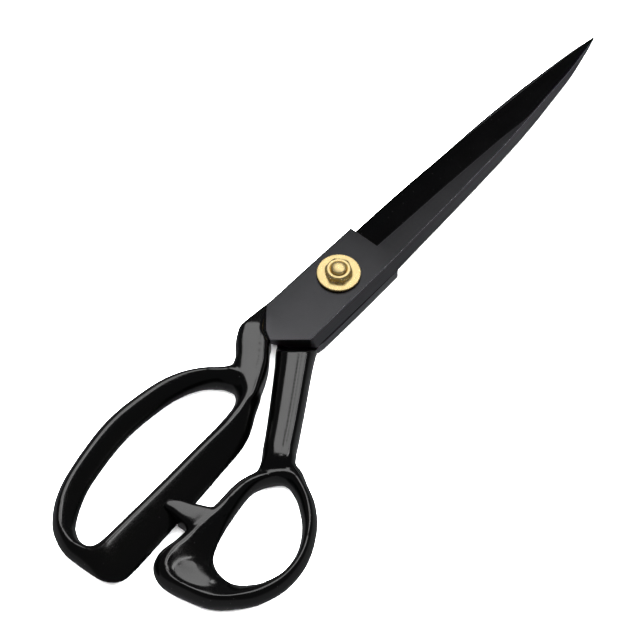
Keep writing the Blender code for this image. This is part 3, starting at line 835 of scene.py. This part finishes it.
def between(nodes, links, value, low, high):
    """Spread a noise over a range."""
    spread = nodes.new("ShaderNodeMapRange")
    spread.inputs["From Min"].default_value = NOISE_LOW
    spread.inputs["From Max"].default_value = NOISE_HIGH
    spread.inputs["To Min"].default_value = low
    spread.inputs["To Max"].default_value = high
    links.new(value, spread.inputs["Value"])
    return spread.outputs["Result"]


def bump(nodes, links, height, strength, distance):
    surface = nodes.new("ShaderNodeBump")
    surface.inputs["Strength"].default_value = strength
    surface.inputs["Distance"].default_value = distance * MM
    links.new(height, surface.inputs["Height"])
    return surface.outputs["Normal"]


def along_x(nodes, links, tones):
    """Grey tones at places along X, in millimetres, blended between; on the blade's faces this paints
    sheen along X.
    """
    first = tones[0][0]
    last = tones[-1][0]
    place = nodes.new("ShaderNodeTexCoord")
    axes = nodes.new("ShaderNodeSeparateXYZ")
    spread = nodes.new("ShaderNodeMapRange")
    spread.inputs["From Min"].default_value = first * MM
    spread.inputs["From Max"].default_value = last * MM
    ramp = nodes.new("ShaderNodeValToRGB")
    steps = ramp.color_ramp.elements
    while len(steps) < len(tones):
        steps.new(0.5)
    for step, (x, tone) in zip(steps, tones):
        step.position = (x - first) / (last - first)
        step.color = (tone, tone, tone * BLUISH, 1)
    links.new(place.outputs["Object"], axes.inputs["Vector"])
    links.new(axes.outputs["X"], spread.inputs["Value"])
    links.new(spread.outputs["Result"], ramp.inputs["Fac"])
    return ramp.outputs["Color"]


def mottled(nodes, links, colour, value, low, high):
    """Multiply a colour by a soft mottling."""
    mix = nodes.new("ShaderNodeVectorMath")
    mix.operation = "MULTIPLY"
    links.new(colour, mix.inputs[0])
    links.new(between(nodes, links, value, low, high), mix.inputs[1])
    return mix.outputs["Vector"]


def enamel():
    """Baked black enamel: a faint orange peel and uneven gloss."""
    finish, nodes, links, shader = principled("black_enamel")
    shader.inputs["Base Color"].default_value = (*ENAMEL_TONE, 1)
    shader.inputs["Specular IOR Level"].default_value = 1.0
    shader.inputs["Coat Weight"].default_value = 1.0
    shader.inputs["Coat Roughness"].default_value = 0.12
    cloud = noise(nodes, links, scale=90, detail=3.0)
    links.new(between(nodes, links, cloud, 0.15, 0.22), shader.inputs["Roughness"])
    peel = noise(nodes, links, scale=900, detail=1.0)
    links.new(bump(nodes, links, peel, strength=0.08, distance=0.012), shader.inputs["Normal"])
    return finish


def steel(name, tones, roughness, metallic=1.0, specular=0.5):
    """Ground steel: grain across the blade, soft mottling and a tone that changes along X, which on
    the blade's faces is painted sheen.
    """
    finish, nodes, links, shader = principled(name)
    shader.inputs["Metallic"].default_value = metallic
    shader.inputs["Specular IOR Level"].default_value = specular
    cloud = noise(nodes, links, scale=120, detail=3.0)
    links.new(mottled(nodes, links, along_x(nodes, links, tones), cloud, 0.93, 1.07),
              shader.inputs["Base Color"])
    links.new(between(nodes, links, cloud, roughness - 0.03, roughness + 0.03),
              shader.inputs["Roughness"])
    grain = noise(nodes, links, scale=3000, detail=1.0, stretch=(1, 0.06, 0.06))
    links.new(bump(nodes, links, grain, strength=0.15, distance=0.006), shader.inputs["Normal"])
    return finish


def brass():
    """Turned brass: fine rings about the pivot and a faintly uneven polish."""
    finish, nodes, links, shader = principled("brass")
    shader.inputs["Metallic"].default_value = 0.988
    cloud = noise(nodes, links, scale=400, detail=3.0)
    tone = nodes.new("ShaderNodeRGB")
    tone.outputs["Color"].default_value = (*BRASS_TONE, 1)
    links.new(mottled(nodes, links, tone.outputs["Color"], cloud, 0.94, 1.05),
              shader.inputs["Base Color"])
    links.new(between(nodes, links, cloud, 0.24, 0.33), shader.inputs["Roughness"])
    place = nodes.new("ShaderNodeTexCoord")
    rings = nodes.new("ShaderNodeTexWave")
    rings.wave_type = "RINGS"
    rings.rings_direction = "Z"
    rings.inputs["Scale"].default_value = 1100
    rings.inputs["Distortion"].default_value = 0.4
    links.new(place.outputs["Object"], rings.inputs["Vector"])
    links.new(bump(nodes, links, rings.outputs["Fac"], strength=0.12, distance=0.004),
              shader.inputs["Normal"])
    return finish


# ---------------------------------------------------------------- build
make_camera()
make_floor()
make_room()
make_lights()
bpy.context.scene.view_settings.view_transform = "Standard"

# Satin, side and strip steel carry a painted sheen along X; their grey level is the steel's own.
satin = steel("satin_steel_painted_sheen", SATIN_TONES_WITH_SHEEN, roughness=0.38)
side = steel("side_steel_painted_sheen", SIDE_TONES_WITH_SHEEN, roughness=0.4)
strip = steel("strip_steel_painted_sheen", STRIP_TONES_WITH_SHEEN, roughness=0.4)
# The arris steel paints a highlight line along the rounded edge between spine and flat.
arris = steel("arris_painted_highlight", ARRIS_PAINTED_HIGHLIGHT_TONES, roughness=0.5, metallic=0.993)
ground = steel("ground_steel", GROUND_TONES, roughness=0.2, metallic=0.0, specular=0.3)
blade_finishes = [side, satin, ground, strip, satin, arris]      # in the order of the bands
front = make_blade("front_blade_steel", FRONT_TAIL, FRONT_CUTTING, FRONT_LOW, 1, "finger_half",
                   blade_finishes, [make_relief()])
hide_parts("front_blade")
rear = make_blade("rear_blade_steel", REAR_TAIL, REAR_CUTTING, REAR_HIGH, -1, "thumb_half",
                  blade_finishes, [])
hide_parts("rear_blade")

black = enamel()
make_finger_handle(black)
make_thumb_handle(black)

gold = brass()
make_washer(gold)
make_nut(gold)
make_bolt(gold)
make_spacer(steel("washer_steel", WASHER_TONES, roughness=0.35))
